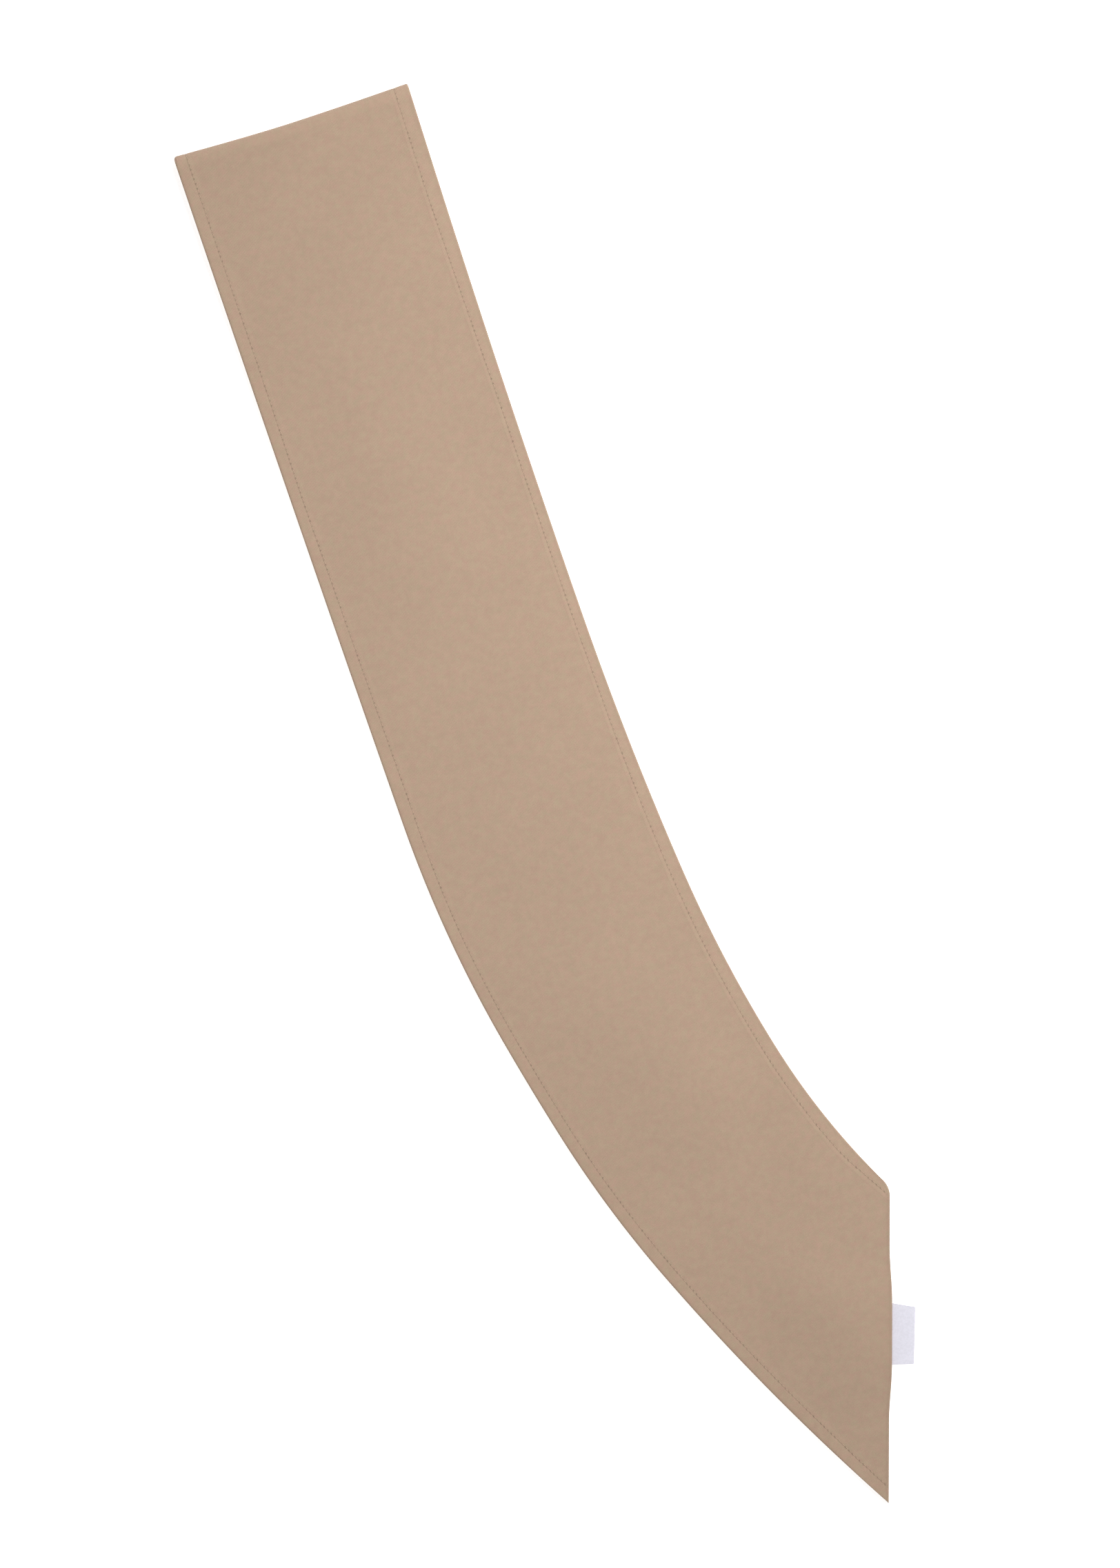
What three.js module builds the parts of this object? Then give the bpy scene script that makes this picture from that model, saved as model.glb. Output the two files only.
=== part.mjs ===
// A cloth sash lying flat, as on a table: one long hemmed strip, folded over at the shoulder and joined at
// the hip by a slanted seam that holds a small folded label. The loop lies pressed nearly flat, front over
// back. Millimetres. +Y runs from the hip up to the shoulder, +X across towards the label, +Z up from the
// table.
import * as THREE from "three";

// The cloth and its hems. A hem is as thick as the cloth and its turned-in edge together.
const CLOTH = 1;
const GAP = 0.3;
const HEM = { width: 8, thickness: 1.6, rounding: 0.5, step: 0.8 };

// The strip in plan. A heading is in degrees from straight down (-Y) towards +X.
const STRIP_WIDTH = 133;
const SHOULDER_TILT = 17.7;

// The two long edges, from the shoulder fold down to the hip seam: each row is one arc,
// with its run in millimetres and how far it turns in degrees.
const OUTER_EDGE = {
  heading: 18.7,
  arcs: [
    { run: 380, turn: 0.6 },
    { run: 130, turn: 10.7 },
    { run: 60, turn: 2.2 },
    { run: 95, turn: 8.7 },
    { run: 173, turn: 7.7 },
  ],
};
const INNER_EDGE = {
  heading: 17.4,
  arcs: [
    { run: 100, turn: 0.5 },
    { run: 200, turn: 1.3 },
    { run: 150, turn: 4.3 },
    { run: 110, turn: 8.6 },
    { run: 97, turn: 14.3 },
  ],
};

// Where the strip stops running straight, as runs down its two edges.
const STRAIGHT_END = { outer: 380, inner: 376 };

// The soft turn over the shoulder, and how far below it the front takes to settle onto the back.
const FOLD = { reach: 6, height: 9, corner: 2, settle: 230, steps: 12 };

// How high the front lies: the top of its hems, and how far the cloth sags between them.
const LYING = { hemTop: 3.6, sag: 0.5, sagRun: 30 };

// How many faces wide the cloth between the hems is.
const MIDDLE_COLUMNS = 12;

// The hip seam: the allowance inside, the roll of the turned edge, and the front's slope up to it.
const SEAM = { allowance: 10, roll: 1.5, settle: 60, corner: 12.5, rows: 36, arcSteps: 7 };

// How the roll and the allowance taper at the two ends of the seam: the roll's width where it begins, then
// how fast the roll and the allowance widen along the seam.
const SEAM_END = { width: 0.2, rollSpread: 0.5, bevel: 0.35 };

// The folded label: its middle is measured up the hip seam from the tip.
const LABEL = {
  middle: 91,
  width: 32,
  reach: 12.3,
  root: 8,
  thickness: 1.2,
  tilt: -3.5,
  droop: 0.9,
  rows: 6,
};

// The label's section, from its ends inside the seam out to its rounded fold: each row is a distance out
// from the seam, and how thick the label is there as a share of its thickness.
const LABEL_SECTION = [
  { out: -LABEL.root, thick: 1 },
  { out: -LABEL.root / 2, thick: 1 },
  { out: 0, thick: 1 },
  { out: 0.35 * LABEL.reach, thick: 1 },
  { out: 0.7 * LABEL.reach, thick: 1 },
  { out: LABEL.reach - LABEL.thickness / 2, thick: 1 },
  { out: LABEL.reach - LABEL.thickness / 6, thick: 0.75 },
  { out: LABEL.reach, thick: 0.3 },
];

// The label pushes the seam outwards, and lifts the front layer over it.
const LABEL_PUSH = { out: 1.45, plateau: 18, fade: 29 };

// Low swells and dips of the front layer: middle down the strip, middle across it as a share of the width,
// height, and half its extent along and across the strip.
const SWELLS = [
  { down: 238, across: 0.45, height: 0.9, along: 70, aside: 58 },
  { down: 545, across: 0.55, height: 1.7, along: 70, aside: 62 },
  { down: 628, across: 0.35, height: -0.35, along: 40, aside: 45 },
  { down: 705, across: 0.5, height: 1.3, along: 55, aside: 60 },
];

const CLOTH_COLOUR = "#b59a82";
const LABEL_COLOUR = "#e4e2ec";

const radians = THREE.MathUtils.degToRad;
const lerp = THREE.MathUtils.lerp;

// 0 to 1 as share goes from 0 to 1, level at both ends.
function ease(share) {
  return THREE.MathUtils.smoothstep(share, 0, 1);
}

// Where a walker ends up after one arc.
function alongArc(from, run, turn) {
  const half = turn / 2;
  const chord = Math.abs(half) < 1e-9 ? run : (run * Math.sin(half)) / half;
  return {
    x: from.x + chord * Math.sin(from.heading + half),
    y: from.y - chord * Math.cos(from.heading + half),
    heading: from.heading + turn,
  };
}

// A plan curve of arcs, which gives the place and heading at any run along it.
function arcPath(start, arcs) {
  const legs = [];
  let reached = start;
  let length = 0;
  for (const { run, turn } of arcs) {
    legs.push({ from: reached, begins: length, run, turn: radians(turn) });
    reached = alongArc(reached, run, radians(turn));
    length += run;
  }
  function at(run) {
    const leg = legs.findLast((candidate) => run >= candidate.begins) ?? legs[0];
    const part = run - leg.begins;
    return alongArc(leg.from, part, (leg.turn * part) / leg.run);
  }
  return { at, length, end: reached };
}

const outerEdge = arcPath(
  { x: 0, y: 0, heading: radians(OUTER_EDGE.heading) },
  OUTER_EDGE.arcs,
);
const innerEdge = arcPath(
  {
    x: STRIP_WIDTH * Math.cos(radians(SHOULDER_TILT)),
    y: STRIP_WIDTH * Math.sin(radians(SHOULDER_TILT)),
    heading: radians(INNER_EDGE.heading),
  },
  INNER_EDGE.arcs,
);

// The hip seam's line, from the tip up to the rounded corner where it runs into the inner edge.
const tip = outerEdge.end;
const cornerPoint = innerEdge.end;
const hipHeading = Math.atan2(cornerPoint.x - tip.x, tip.y - cornerPoint.y);
const cornerTurn = innerEdge.end.heading + Math.PI - hipHeading;
const cornerTangent = SEAM.corner * Math.tan(cornerTurn / 2);
const hipLine = arcPath({ x: tip.x, y: tip.y, heading: hipHeading }, [
  { run: Math.hypot(cornerPoint.x - tip.x, cornerPoint.y - tip.y) - cornerTangent, turn: 0 },
  { run: SEAM.corner * cornerTurn, turn: THREE.MathUtils.radToDeg(cornerTurn) },
]);

// How much of the label's push is felt at this run up the hip seam.
function labelPush(run) {
  const away = Math.abs(run - LABEL.middle) - LABEL_PUSH.plateau;
  return 1 - ease(away / LABEL_PUSH.fade);
}

// A point of the hip seam's outline, moved inwards by inset.
function hipPoint(run, inset) {
  const spot = hipLine.at(run);
  const inwards = inset - LABEL_PUSH.out * labelPush(run);
  return {
    x: spot.x + inwards * Math.cos(spot.heading),
    y: spot.y + inwards * Math.sin(spot.heading),
  };
}

// How wide the seam's roll is: it tapers off at the tip and at the rounded corner.
function rollReach(run) {
  const fromEnd = Math.min(run, hipLine.length - run);
  return Math.min(SEAM.roll, SEAM_END.width + SEAM_END.rollSpread * fromEnd);
}

// How far in the seam allowance reaches: its corners are bevelled so that they stay inside the strip.
function allowanceReach(run) {
  const fromEnd = Math.min(run, hipLine.length - run);
  return Math.min(SEAM.allowance, rollReach(run) + SEAM_END.bevel * fromEnd);
}

// Heights at the hip seam: each layer is cloth, gap and allowance, and a gap parts the two layers.
const layerHeight = 2 * CLOTH + GAP;
const seamTop = 2 * layerHeight + GAP;
const labelLift = LABEL.thickness + GAP;

// The turned edge starts a little above the tip, where the strip is wide enough for it.
const seamStart = 3 * SEAM_END.width;

// The panels' last cross line runs along the seam's roll, a gap inside it.
const outerSlant = Math.tan(outerEdge.end.heading);
const lastLineStart = (SEAM_END.width + GAP) / (outerSlant - SEAM_END.rollSpread);

function lastLinePoint(across) {
  const run = lerp(lastLineStart, hipLine.length, across);
  return hipPoint(run, rollReach(run) + GAP);
}

// The runs down both edges that lie this far in from the hip seam.
function runsAtInset(inset) {
  return {
    outer: outerEdge.length - inset / Math.sin(outerEdge.end.heading),
    inner: innerEdge.length - inset / Math.sin(innerEdge.end.heading),
  };
}

// Groups of the panels' cross lines: where each group ends, and how many lines it has in the curved front
// and in the flat back. The hems are thinner next to the seam, where the allowance lies on them.
const clearInset = SEAM.allowance + HEM.step;
const hipCornerOfPanel = Math.hypot(
  lastLinePoint(0).x - tip.x,
  lastLinePoint(0).y - tip.y,
);
const LINE_GROUPS = [
  { outer: FOLD.reach + GAP, inner: FOLD.reach + GAP, front: 1, back: 1 },
  { ...STRAIGHT_END, front: 20, back: 7 },
  { ...runsAtInset(clearInset + HEM.step), front: 26, back: 14 },
  { ...runsAtInset(clearInset), front: 1, back: 1, thinHems: true },
  {
    outer: outerEdge.length - hipCornerOfPanel,
    inner: innerEdge.length - cornerTangent,
    front: 3,
    back: 3,
    thinHems: true,
  },
];

// One cross line of the strip, from the outer to the inner edge, at the given runs down them.
function crossLine(outer, inner, thinHems = false) {
  const from = outerEdge.at(outer);
  const to = innerEdge.at(inner);
  const width = Math.hypot(to.x - from.x, to.y - from.y);
  const bearing = Math.atan2(to.x - from.x, from.y - to.y);
  return {
    outer,
    inner,
    thinHems,
    from,
    to,
    width,
    slantOuter: Math.sin(bearing - from.heading),
    slantInner: Math.sin(bearing - to.heading),
  };
}

// The cross lines of one layer, front or back.
function panelLines(layer) {
  const lines = [];
  let before = LINE_GROUPS[0];
  for (const group of LINE_GROUPS) {
    for (let i = 1; i <= group[layer]; i += 1) {
      const share = i / group[layer];
      const outer = lerp(before.outer, group.outer, share);
      const inner = lerp(before.inner, group.inner, share);
      lines.push(crossLine(outer, inner, group.thinHems));
    }
    before = group;
  }
  return lines;
}

// Distances in from both long edges where a cross line has a point: the hem's rounded edge, the end of the
// strip's rounded corners, and the step at the hem's inner side.
const MARGINS = [0, HEM.rounding, FOLD.corner, HEM.width - HEM.step / 2, HEM.width + HEM.step / 2];

// Places across a line: in from the outer edge, evenly over the middle, then out to the inner edge.
function placesAcross(line) {
  const outerPlaces = MARGINS.map((margin) => margin / (line.width * line.slantOuter));
  const innerPlaces = MARGINS.map((margin) => 1 - margin / (line.width * line.slantInner));
  const middle = [];
  for (let i = 1; i < MIDDLE_COLUMNS; i += 1) {
    middle.push(lerp(outerPlaces.at(-1), innerPlaces.at(-1), i / MIDDLE_COLUMNS));
  }
  return [...outerPlaces, ...middle, ...innerPlaces.reverse()];
}

// Everything that the heights need to know about one place on a cross line.
function spotOn(line, across, lastLine) {
  let x = lerp(line.from.x, line.to.x, across);
  let y = lerp(line.from.y, line.to.y, across);
  const inset = tip.x - x;
  if (lastLine) {
    const seam = lastLinePoint(across);
    const bend = 1 - ease((lastLine.outer - line.outer) / SEAM.settle);
    x += bend * (seam.x - lerp(lastLine.from.x, lastLine.to.x, across));
    y += bend * (seam.y - lerp(lastLine.from.y, lastLine.to.y, across));
  }
  const outerMargin = across * line.width * line.slantOuter;
  const innerMargin = (1 - across) * line.width * line.slantInner;
  return {
    x,
    y,
    across,
    inset,
    width: line.width,
    down: lerp(line.outer, line.inner, across),
    margin: Math.max(0, Math.min(outerMargin, innerMargin)),
    thinHem: line.thinHems,
  };
}

// The cloth's thickness at a spot: thicker in a hem, with a rounded outer edge.
function thicknessAt(spot) {
  const full = spot.margin < HEM.width && !spot.thinHem ? HEM.thickness : CLOTH;
  return spot.margin < HEM.rounding / 2 ? full - HEM.rounding : full;
}

// How much the cloth is free to sag or swell: not at all in the hems, and fully well inside them.
function looseness(spot) {
  return ease((spot.margin - HEM.width - HEM.step / 2) / LYING.sagRun);
}

function swellAt(spot) {
  let height = 0;
  for (const swell of SWELLS) {
    const along = (spot.down - swell.down) / swell.along;
    const aside = ((spot.across - swell.across) * spot.width) / swell.aside;
    const near = Math.max(0, 1 - along * along - aside * aside);
    height += swell.height * near * near;
  }
  return height;
}

// The front's upper face: high at the shoulder fold, low along the strip, and up again over the hip seam.
function frontTop(spot) {
  const shoulder = 1 - ease((spot.down - FOLD.reach) / FOLD.settle);
  const hip = 1 - ease((spot.inset - SEAM.allowance - 2 * HEM.step) / SEAM.settle);
  const seam = seamTop - LYING.hemTop + labelLift * labelPush(spot.y - tip.y);
  const loose = looseness(spot) * (1 - shoulder) * (1 - hip);
  return (
    LYING.hemTop +
    shoulder * (FOLD.height - LYING.hemTop) +
    hip * seam +
    loose * (swellAt(spot) - LYING.sag)
  );
}

// A closed sheet from rows of paired points, one on each face of the cloth.
function sheetGeometry(rows) {
  const columns = rows[0].length;
  const positions = [];
  for (const row of rows) {
    for (const pair of row) {
      positions.push(...pair.over, ...pair.under);
    }
  }
  const over = (row, column) => 2 * (row * columns + column);
  const under = (row, column) => over(row, column) + 1;
  const triangles = [];
  function quad(a, b, c, d) {
    triangles.push(a, b, c, a, c, d);
  }
  const lastRow = rows.length - 1;
  const lastColumn = columns - 1;
  for (let row = 0; row < lastRow; row += 1) {
    for (let column = 0; column < lastColumn; column += 1) {
      quad(over(row, column), over(row + 1, column), over(row + 1, column + 1), over(row, column + 1));
      quad(under(row, column), under(row, column + 1), under(row + 1, column + 1), under(row + 1, column));
    }
    quad(over(row, 0), under(row, 0), under(row + 1, 0), over(row + 1, 0));
    quad(
      under(row, lastColumn),
      over(row, lastColumn),
      over(row + 1, lastColumn),
      under(row + 1, lastColumn),
    );
  }
  for (let column = 0; column < lastColumn; column += 1) {
    quad(over(0, column), over(0, column + 1), under(0, column + 1), under(0, column));
    quad(
      over(lastRow, column + 1),
      over(lastRow, column),
      under(lastRow, column),
      under(lastRow, column + 1),
    );
  }
  const geometry = new THREE.BufferGeometry();
  geometry.setAttribute("position", new THREE.Float32BufferAttribute(positions, 3));
  geometry.setIndex(facingOut(positions, triangles));
  geometry.computeVertexNormals();
  return geometry;
}

// The triangles, turned over where they enclose a negative volume.
function facingOut(positions, triangles) {
  const corner = (index) => new THREE.Vector3().fromArray(positions, 3 * index);
  let volume = 0;
  for (let i = 0; i < triangles.length; i += 3) {
    const [a, b, c] = triangles.slice(i, i + 3).map(corner);
    volume += a.dot(b.cross(c));
  }
  return volume > 0 ? triangles : triangles.toReversed();
}

// One layer, front or back: heights gives its upper and lower face at a spot.
function panelGeometry(layer, heights) {
  const lines = panelLines(layer);
  const lastLine = lines.at(-1);
  const rows = lines.map((line) =>
    placesAcross(line).map((across) => {
      const spot = spotOn(line, across, lastLine);
      const { top, bottom } = heights(spot);
      return { over: [spot.x, spot.y, top], under: [spot.x, spot.y, bottom] };
    }),
  );
  return sheetGeometry(rows);
}

function frontHeights(spot) {
  const top = frontTop(spot);
  const rounded = spot.margin < HEM.rounding / 2 ? HEM.rounding / 2 : 0;
  return { top: top - rounded, bottom: top - rounded - thicknessAt(spot) };
}

function backHeights(spot) {
  const rounded = spot.margin < HEM.rounding / 2 ? HEM.rounding / 2 : 0;
  return { top: rounded + thicknessAt(spot), bottom: rounded };
}

// The turn over the shoulder: an upright half ellipse swept along the fold line, thicker at the hems.
function shoulderFoldGeometry() {
  const middle = FOLD.height / 2;
  const foldLine = crossLine(0, 0);
  const places = placesAcross(foldLine);
  const rows = [];
  for (let step = 0; step <= FOLD.steps; step += 1) {
    const angle = radians(lerp(-90, 90, step / FOLD.steps));
    rows.push(
      places.map((across) => {
        const { margin } = spotOn(foldLine, across);
        const short = Math.max(0, FOLD.corner - margin);
        const cut = FOLD.corner - Math.sqrt(FOLD.corner ** 2 - short ** 2);
        const reach = FOLD.reach - cut;
        const rounded = margin < HEM.rounding / 2 ? HEM.rounding / 2 : 0;
        const thickness = margin < HEM.width ? HEM.thickness : CLOTH;
        const outwards = new THREE.Vector2(Math.cos(angle) / reach, Math.sin(angle) / middle).normalize();
        const point = (depth) => {
          const run = FOLD.reach - reach * Math.cos(angle) + depth * outwards.x;
          const height = middle + middle * Math.sin(angle) - depth * outwards.y;
          const from = outerEdge.at(run);
          const to = innerEdge.at(run);
          return [lerp(from.x, to.x, across), lerp(from.y, to.y, across), height];
        };
        return { over: point(rounded), under: point(thickness - rounded) };
      }),
    );
  }
  return sheetGeometry(rows);
}

// A layer's end at the hip seam: it rolls in over the edge and lies back inside as the seam allowance.
// mirror turns a height of the back layer into the front layer's.
function seamAllowanceGeometry(mirror) {
  const bend = layerHeight / 2;
  const centreRadius = bend - CLOTH / 2;
  const section = [{ inset: SEAM.roll, height: CLOTH / 2, out: [0, -1] }];
  for (let step = 0; step <= SEAM.arcSteps; step += 1) {
    const angle = radians(lerp(-90, 90, step / SEAM.arcSteps));
    section.push({
      inset: bend - centreRadius * Math.cos(angle),
      height: bend + centreRadius * Math.sin(angle),
      out: [-Math.cos(angle), Math.sin(angle)],
    });
  }
  const flap = { height: layerHeight - CLOTH / 2, out: [0, 1] };
  const rows = [];
  for (let i = 0; i <= SEAM.rows; i += 1) {
    const run = lerp(seamStart, hipLine.length - seamStart, i / SEAM.rows);
    const narrowing = rollReach(run) / SEAM.roll;
    const pointAt = (place, depth) => {
      const spot = hipPoint(run, narrowing * (place.inset + depth * place.out[0]));
      return [spot.x, spot.y, mirror(place.height + depth * place.out[1], spot.y - tip.y)];
    };
    const laid = [0.5, 1].map((share) => ({
      ...flap,
      inset: lerp(bend, allowanceReach(run) / narrowing, share),
    }));
    rows.push(
      [...section, ...laid].map((place) => ({
        over: pointAt(place, CLOTH / 2),
        under: pointAt(place, -CLOTH / 2),
      })),
    );
  }
  return sheetGeometry(rows);
}

function backAllowanceHeight(height) {
  return height;
}

function frontAllowanceHeight(height, run) {
  return seamTop - height + labelLift * labelPush(run);
}

// The label: a tape folded double and pressed flat, its ends in the seam, drooping a little outside it.
function labelGeometry() {
  const middle = hipPoint(LABEL.middle, 0);
  const tilt = radians(LABEL.tilt);
  const height = layerHeight + GAP + LABEL.thickness / 2;
  const rows = [];
  for (let i = 0; i <= LABEL.rows; i += 1) {
    const along = lerp(-LABEL.width / 2, LABEL.width / 2, i / LABEL.rows);
    rows.push(
      LABEL_SECTION.map(({ out, thick }) => {
        const x = middle.x + out * Math.cos(tilt) - along * Math.sin(tilt);
        const y = middle.y + out * Math.sin(tilt) + along * Math.cos(tilt);
        const drop = LABEL.droop * Math.max(0, out / LABEL.reach) ** 2;
        const half = (LABEL.thickness * thick) / 2;
        return { over: [x, y, height - drop + half], under: [x, y, height - drop - half] };
      }),
    );
  }
  return sheetGeometry(rows);
}

function clothMaterial() {
  return new THREE.MeshStandardMaterial({ color: CLOTH_COLOUR, roughness: 0.9, metalness: 0 });
}

function labelMaterial() {
  return new THREE.MeshStandardMaterial({ color: LABEL_COLOUR, roughness: 0.55, metalness: 0 });
}

function piece(name, geometry, material) {
  const mesh = new THREE.Mesh(geometry, material);
  mesh.name = name;
  return mesh;
}

const strip = new THREE.Group();
strip.add(
  piece("front_panel", panelGeometry("front", frontHeights), clothMaterial()),
  piece("back_panel", panelGeometry("back", backHeights), clothMaterial()),
  piece("shoulder_fold", shoulderFoldGeometry(), clothMaterial()),
  piece("front_seam_allowance", seamAllowanceGeometry(frontAllowanceHeight), clothMaterial()),
  piece("back_seam_allowance", seamAllowanceGeometry(backAllowanceHeight), clothMaterial()),
  piece("label", labelGeometry(), labelMaterial()),
);

// The origin is under the middle of the whole sash, on the surface that it lies on.
const box = new THREE.Box3().setFromObject(strip);
const centre = box.getCenter(new THREE.Vector3());
strip.position.set(-centre.x, -centre.y, -box.min.z);

const sash = new THREE.Group();
sash.add(strip);

export default sash;
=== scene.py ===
import math
from collections import namedtuple

import bmesh
import bpy
import numpy as np
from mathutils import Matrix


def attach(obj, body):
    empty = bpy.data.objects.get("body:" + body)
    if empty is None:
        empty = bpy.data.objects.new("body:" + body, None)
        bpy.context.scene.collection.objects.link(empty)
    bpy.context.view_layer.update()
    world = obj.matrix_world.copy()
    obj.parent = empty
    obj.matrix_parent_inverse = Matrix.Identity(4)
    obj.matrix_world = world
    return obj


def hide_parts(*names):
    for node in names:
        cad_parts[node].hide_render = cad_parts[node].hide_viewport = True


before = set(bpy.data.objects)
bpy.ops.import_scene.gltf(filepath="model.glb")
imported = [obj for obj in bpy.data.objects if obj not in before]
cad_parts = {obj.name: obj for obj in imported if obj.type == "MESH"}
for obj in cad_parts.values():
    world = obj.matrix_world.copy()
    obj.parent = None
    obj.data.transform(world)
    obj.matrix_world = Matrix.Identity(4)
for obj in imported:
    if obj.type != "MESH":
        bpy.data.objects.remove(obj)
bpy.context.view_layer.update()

# Lengths are in millimetres here, and become metres when a mesh is made.
MM = 0.001

# The strip in plan, as in the part: headings are in degrees from straight down towards +X,
# and each row of arcs is a run and how far it turns.
STRIP_WIDTH = 133
SHOULDER_TILT = math.radians(17.7)
OUTER_HEADING = 18.7
OUTER_ARCS = [(380, 0.6), (130, 10.7), (60, 2.2), (95, 8.7), (173, 7.7)]
INNER_HEADING = 17.4
INNER_ARCS = [(100, 0.5), (200, 1.3), (150, 4.3), (110, 8.6), (97, 14.3)]
STRAIGHT_OUTER = 380
STRAIGHT_INNER = 376

# Where the outer edge meets the shoulder fold, in the shared frame.
SHOULDER_PLACE = (-201.4044, 343.6176)

# The turn over the shoulder, as in the part. FOLD_ARC is the length of cloth from its top to either layer.
FOLD_REACH = 6
FOLD_HEIGHT = 9
FOLD_SETTLE = 230
FOLD_ARC = math.pi / 2 * math.sqrt((FOLD_REACH**2 + (FOLD_HEIGHT / 2) ** 2) / 2)

# The turn falls short of that reach at its middle and bows out towards its two edges. The stitches pinch
# it, and its corners are round.
FOLD_MIDDLE = 0.475
FOLD_SHORT = 0.63
FOLD_BOW_OUTER = 5.9
FOLD_BOW_INNER = 3.7
FOLD_BOW_POWER = 1.6
FOLD_PINCH = 0.15
FOLD_PINCH_WIDTH = 0.8
FOLD_CORNER_OUTER = 2.0
FOLD_CORNER_INNER = 0.8

# The cloth as it is: thin, with a hem of three layers.
CLOTH = 0.6
HEM_THICK = 1.5
HEM_BEYOND_STITCHES = 2.3

# How high the front lies, as in the part. It is level over the hems, and settles inside them.
HEM_TOP = 3.6
HEM_LEVEL = 8.4
SAG = 0.5
SAG_RUN = 30

# The hip seam, much as in the part, but with its two rolls touching.
SEAM_TOP = 4.9
SEAM_RADIUS = 1.2
SEAM_LEVEL = 11.6
SEAM_SETTLE = 60
SEAM_CORNER = 12.5
ALLOWANCE = 10
ROLL_START = 0.05
ROLL_SPREAD = 0.5
BEVEL = 0.35

# Between these distances from the hip seam, the thick hems thin to single cloth.
HEM_FADE = (11, 17)

# The label: its size and place, and how it droops, waves and curls.
LABEL_MIDDLE = 91.6
LABEL_WIDTH = 33.4
LABEL_NARROWS = 2.5
LABEL_SHIFT = 0.6
LABEL_REACH = 12.4
LABEL_ROOT = 8
LABEL_TILT = math.radians(-1.3)
LABEL_TAPE = 0.42
LABEL_BEND = 0.5
LABEL_PRESSED = 0.45
LABEL_DROOP = 0.9
LABEL_WAVE = 0.12
LABEL_WAVELENGTH = 9
LABEL_CURL = 0.1
LABEL_COLUMNS = 21
LABEL_BEND_STEPS = 8

# How the label pushes the seam out and lifts the front.
PUSH_OUT = 1.45
PUSH_UP = 1.0
PUSH_PLATEAU = 18
PUSH_FADE = 29

# Low swells of the front, much as in the part: down, across, height, along, aside.
SWELLS = [
    (238, 0.45, 0.9, 70, 58),
    (545, 0.55, 1.2, 70, 62),
    (628, 0.35, -0.35, 40, 45),
    (705, 0.5, 1.3, 55, 60),
]

# What the stitches do to the cloth: a groove, a step down beyond the hem, and puckers. Each row of
# puckers is a height, how they slant and a wavelength.
GROOVE = 0.06
GROOVE_WIDTH = 0.5
HEM_STEP = 0.06
HEM_STEP_BEFORE = 0.4
HEM_STEP_WIDTH = 1.3
PUCKERS = [(0.07, 0.5, 4.1), (0.09, 0.3, 11), (0.06, 0, 27)]
PUCKER_AT_EDGE = 0.25
PUCKER_REACH = 16

# The unevenness of the whole cloth, as heights and wavelengths, and how far in from the edges it begins.
UNEVENNESS = [(0.05, 34), (0.02, 13)]
UNEVEN_FROM = 6
UNEVEN_FADE = 20

# This fine relief fades out towards the fold and the seam, and the back is lifted to have room for it.
RELIEF_TO_FOLD = 12
RELIEF_TO_SEAM = 6
RELIEF_LIFT = 0.1

# The rows of stitches: how far in from each edge, at runs down it, and how far from the hip they end.
STITCH_PITCH = 2.75
OUTER_STITCHES = [(0, 7), (120, 7.3), (200, 6.5), (370, 7.4), (450, 6.7), (838, 7)]
INNER_STITCHES = [(0, 7.8), (60, 7.8), (180, 5.4), (330, 5.3), (420, 6.6), (560, 6.7), (657, 6.2)]
OUTER_STITCHES_END = 1.2
INNER_STITCHES_END = 3.5

# The machine's feed is uneven by this much, over this length. It is followed at this many samples.
FEED_SWING = 0.35
FEED_WAVELENGTH = 19
FEED_SAMPLES = 4000

# One stitch: a flattened thread that is thinner at its ends and dives into the needle holes there.
STITCH_LENGTH = 2.45
THREAD = 0.3
THREAD_WIDE = 1.15
THREAD_HIGH = 0.6
THREAD_AT_ENDS = 0.7
THREAD_LIFT = 0.06
THREAD_DIVE = 0.22
THREAD_STATIONS = 9
THREAD_SIDES = 6

# How far stitches are out of line, askew and unequal in thickness.
THREAD_SLIP = 0.06
THREAD_SKEW = 0.08
THREAD_UNEVEN = 0.06

# Painted shade along the edges where the cloth is folded hard: its strength next to the hip's, and where it
# fades.
OUTER_EDGE_SHADE = 0.3
INNER_EDGE_SHADE = 0.6
EDGE_SHADE_START = 0.2
EDGE_SHADE_FADE = 2.2

# How fine the cloth's mesh is. Its columns near an edge are shares of the way to the stitches, and
# distances from the stitches, from the hem's end and, underneath, from the hem's end again.
FRONT_STEP = 1.375
BACK_STEP = 2.75
COLUMNS_TO_STITCHES = (0, 0.12, 0.3, 0.52, 0.72)
COLUMNS_AT_STITCHES = (-0.9, -0.4, 0, 0.4, 0.9, 1.6)
COLUMNS_AT_HEM_END = (-0.4, 0.1, 0.5, 0.9, 5.7)
UNDER_HEM_END = (-0.1, 0.3)
MIDDLE_COLUMNS = 24
UNDER_COLUMNS = 12
TOP_COLUMNS = (
    2 * len(COLUMNS_TO_STITCHES + COLUMNS_AT_STITCHES + COLUMNS_AT_HEM_END) + MIDDLE_COLUMNS - 1
)
EDGE_ANGLES = [math.radians(angle) for angle in (60, 30, 0, -30, -60)]
FOLD_STEPS = 18
ROLL_STEPS = 8
ALLOWANCE_ROWS = (0.3, 0.65, 1)

# Colours.
CLOTH_COLOUR = (0.4525, 0.321, 0.2298)
THREAD_DARK = (0.46, 0.328, 0.235)
THREAD_LIGHT = (0.57, 0.406, 0.291)
LABEL_COLOUR = (0.82, 0.806, 0.895)

# The weaves: how the twill slants and how far apart its ridges are down the strip, and threads and ribs.
TWILL_SLANT = 1.25
TWILL_STEP = 0.992
TWILL_THREAD = 0.42
THREAD_TWIST = 0.42
TAPE_RIB = 0.36
TAPE_THREAD = 0.3

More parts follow.
